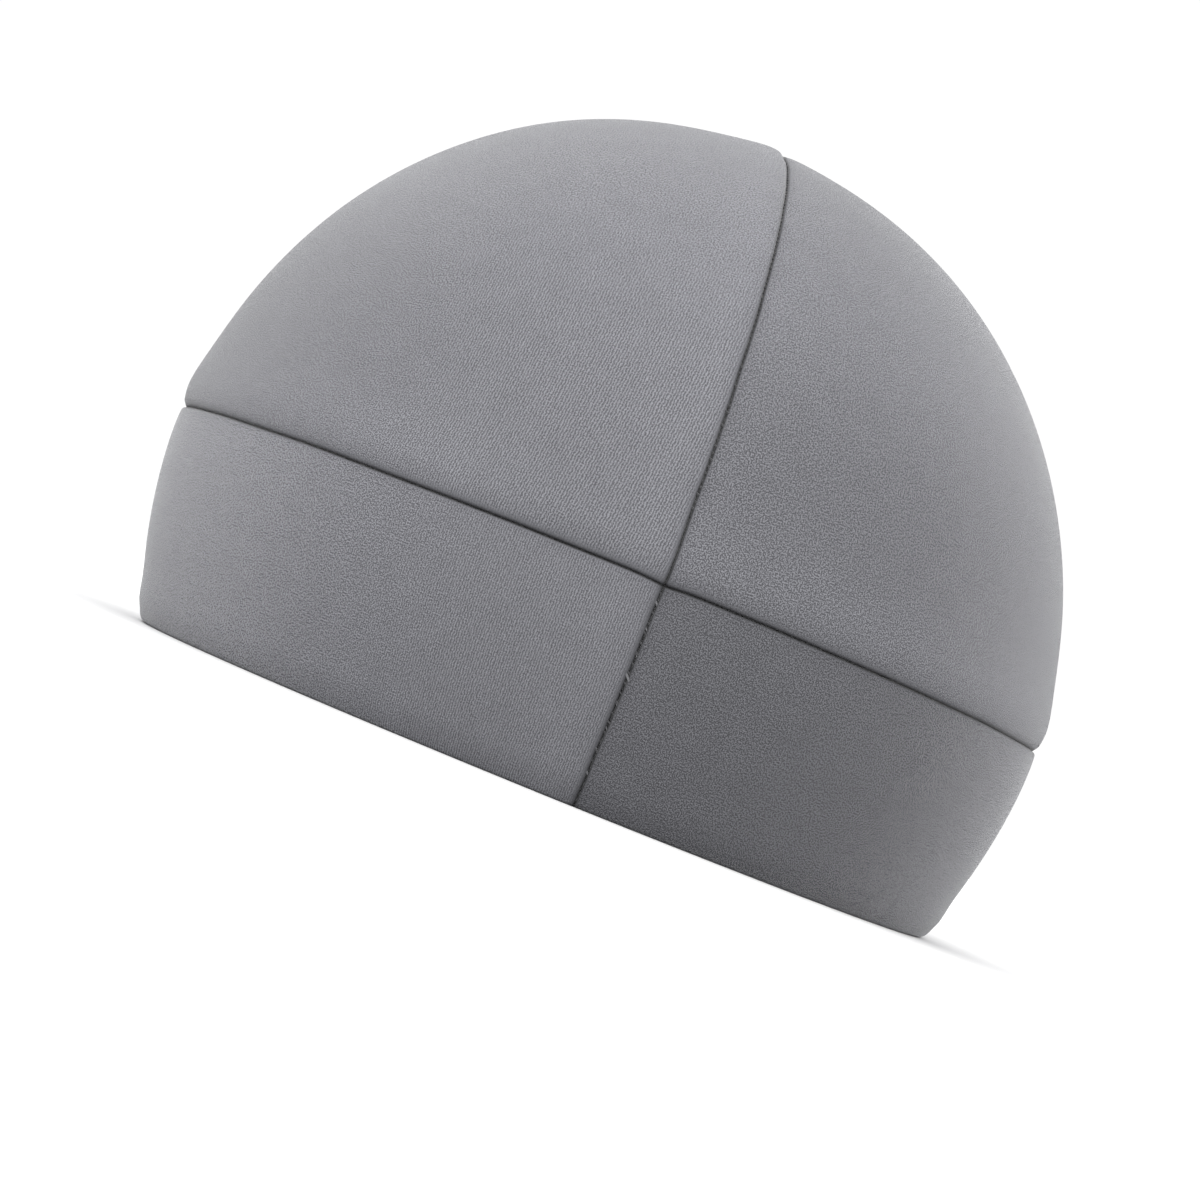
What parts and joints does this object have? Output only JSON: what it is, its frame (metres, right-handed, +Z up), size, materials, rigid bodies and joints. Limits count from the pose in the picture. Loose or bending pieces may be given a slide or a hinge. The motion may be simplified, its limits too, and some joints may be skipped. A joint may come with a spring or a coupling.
{
  "type": "skull cap",
  "caption": "Close-fitting jersey skull cap with a two-part crown, a wide sewn band and a turned-up hem edged with overlock thread inside.",
  "frame": {"origin": "middle of the cap's box, level with the flat underside of the rim", "axes": "+Y towards the forehead, +X to the right in the picture's view of the back seam, +Z up to the apex"},
  "size_m": [0.1624, 0.1922, 0.1183],
  "materials": {
    "jersey": "fine matt jersey knit, mid grey",
    "overlock_thread": "soft textured thread, a lighter grey"
  },
  "bodies": {
    "root": {"crown_left": "jersey", "crown_right": "jersey", "band": "jersey", "overlock_edging": "overlock_thread"}
  },
  "joints": []
}
